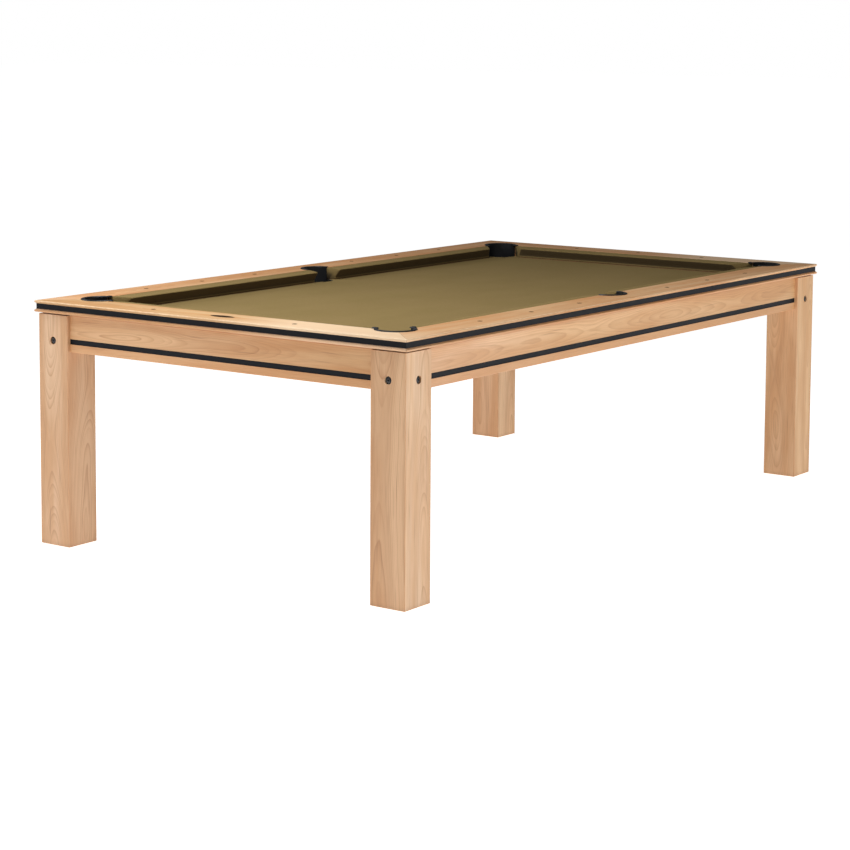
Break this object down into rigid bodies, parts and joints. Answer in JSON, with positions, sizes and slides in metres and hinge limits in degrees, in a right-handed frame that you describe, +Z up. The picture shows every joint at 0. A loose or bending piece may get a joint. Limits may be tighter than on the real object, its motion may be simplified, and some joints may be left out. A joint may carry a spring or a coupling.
{
  "type": "pool table",
  "caption": "Slate-bed pocket billiard table with mitred wooden rails, drop pockets, square legs and levelling feet.",
  "frame": {"origin": "on the floor under the middle of the table", "axes": "+X along the length towards the right end, +Y across the width towards the back, +Z up; the front is the -Y long side and the left end is -X"},
  "size_m": [2.5848, 1.4672, 0.791],
  "materials": {
    "wood_leg": "satin",
    "wood_apron": "satin",
    "wood_rail": "satin",
    "wood_frame": "matte",
    "black_trim": "satin",
    "cushion_rubber": "matte",
    "cloth": "matte",
    "slate": "matte",
    "pocket_plastic": "satin",
    "sight_plastic": "satin",
    "plate_metal": "satin",
    "black_steel": "satin",
    "zinc_steel": "satin",
    "brass": "satin",
    "foot_plastic": "matte"
  },
  "bodies": {
    "table": {"leg_front_left": "wood_leg", "leg_front_right": "wood_leg", "leg_back_left": "wood_leg", "leg_back_right": "wood_leg", "foot_inserts": "brass", "apron_front": "wood_apron", "apron_back": "wood_apron", "apron_left": "wood_apron", "apron_right": "wood_apron", "apron_strips": "black_trim", "rail_front": "wood_rail", "rail_back": "wood_rail", "rail_left": "wood_rail", "rail_right": "wood_rail", "rail_strips": "black_trim", "rubber_front_left": "cushion_rubber", "rubber_front_right": "cushion_rubber", "rubber_back_left": "cushion_rubber", "rubber_back_right": "cushion_rubber", "rubber_left": "cushion_rubber", "rubber_right": "cushion_rubber", "cushion_cloth_front_left": "cloth", "cushion_cloth_front_right": "cloth", "cushion_cloth_back_left": "cloth", "cushion_cloth_back_right": "cloth", "cushion_cloth_left": "cloth", "cushion_cloth_right": "cloth", "slate_left": "slate", "slate_middle": "slate", "slate_right": "slate", "bed_cloth": "cloth", "pocket_front_left": "pocket_plastic", "pocket_front_middle": "pocket_plastic", "pocket_front_right": "pocket_plastic", "pocket_back_left": "pocket_plastic", "pocket_back_middle": "pocket_plastic", "pocket_back_right": "pocket_plastic", "beam_front": "wood_frame", "beam_back": "wood_frame", "beam_left": "wood_frame", "beam_right": "wood_frame", "beam_cross_left": "wood_frame", "beam_cross_right": "wood_frame", "sights": "sight_plastic", "rail_plate": "plate_metal", "leg_bolts": "black_steel", "bolt_inserts": "brass", "rail_bolts": "zinc_steel", "slate_screws": "zinc_steel", "apron_screws": "zinc_steel"},
    "pad_front_left": {"foot_pad_front_left": "foot_plastic"},
    "screw_front_left": {"foot_screw_front_left": "zinc_steel"},
    "pad_front_right": {"foot_pad_front_right": "foot_plastic"},
    "screw_front_right": {"foot_screw_front_right": "zinc_steel"},
    "pad_back_left": {"foot_pad_back_left": "foot_plastic"},
    "screw_back_left": {"foot_screw_back_left": "zinc_steel"},
    "pad_back_right": {"foot_pad_back_right": "foot_plastic"},
    "screw_back_right": {"foot_screw_back_right": "zinc_steel"}
  },
  "joints": [
    {"name": "foot_height_front_left", "type": "slide", "parent": "table", "child": "pad_front_left", "axis": [0, 0, -1], "range_m": [0, 0.015]},
    {"name": "foot_turn_front_left", "type": "hinge", "parent": "pad_front_left", "child": "screw_front_left", "pos_m": [-1.2199, -0.6611, 0.01], "axis": [0, 0, -1], "range_deg": [0, 3090]},
    {"name": "foot_height_front_right", "type": "slide", "parent": "table", "child": "pad_front_right", "axis": [0, 0, -1], "range_m": [0, 0.015]},
    {"name": "foot_turn_front_right", "type": "hinge", "parent": "pad_front_right", "child": "screw_front_right", "pos_m": [1.2199, -0.6611, 0.01], "axis": [0, 0, -1], "range_deg": [0, 3090]},
    {"name": "foot_height_back_left", "type": "slide", "parent": "table", "child": "pad_back_left", "axis": [0, 0, -1], "range_m": [0, 0.015]},
    {"name": "foot_turn_back_left", "type": "hinge", "parent": "pad_back_left", "child": "screw_back_left", "pos_m": [-1.2199, 0.6611, 0.01], "axis": [0, 0, -1], "range_deg": [0, 3090]},
    {"name": "foot_height_back_right", "type": "slide", "parent": "table", "child": "pad_back_right", "axis": [0, 0, -1], "range_m": [0, 0.015]},
    {"name": "foot_turn_back_right", "type": "hinge", "parent": "pad_back_right", "child": "screw_back_right", "pos_m": [1.2199, 0.6611, 0.01], "axis": [0, 0, -1], "range_deg": [0, 3090]}
  ],
  "couplings": [
    {"joint": "foot_turn_front_left", "follows": "foot_height_front_left", "rad_per_m": 3590.4},
    {"joint": "foot_turn_front_right", "follows": "foot_height_front_right", "rad_per_m": 3590.4},
    {"joint": "foot_turn_back_left", "follows": "foot_height_back_left", "rad_per_m": 3590.4},
    {"joint": "foot_turn_back_right", "follows": "foot_height_back_right", "rad_per_m": 3590.4}
  ]
}
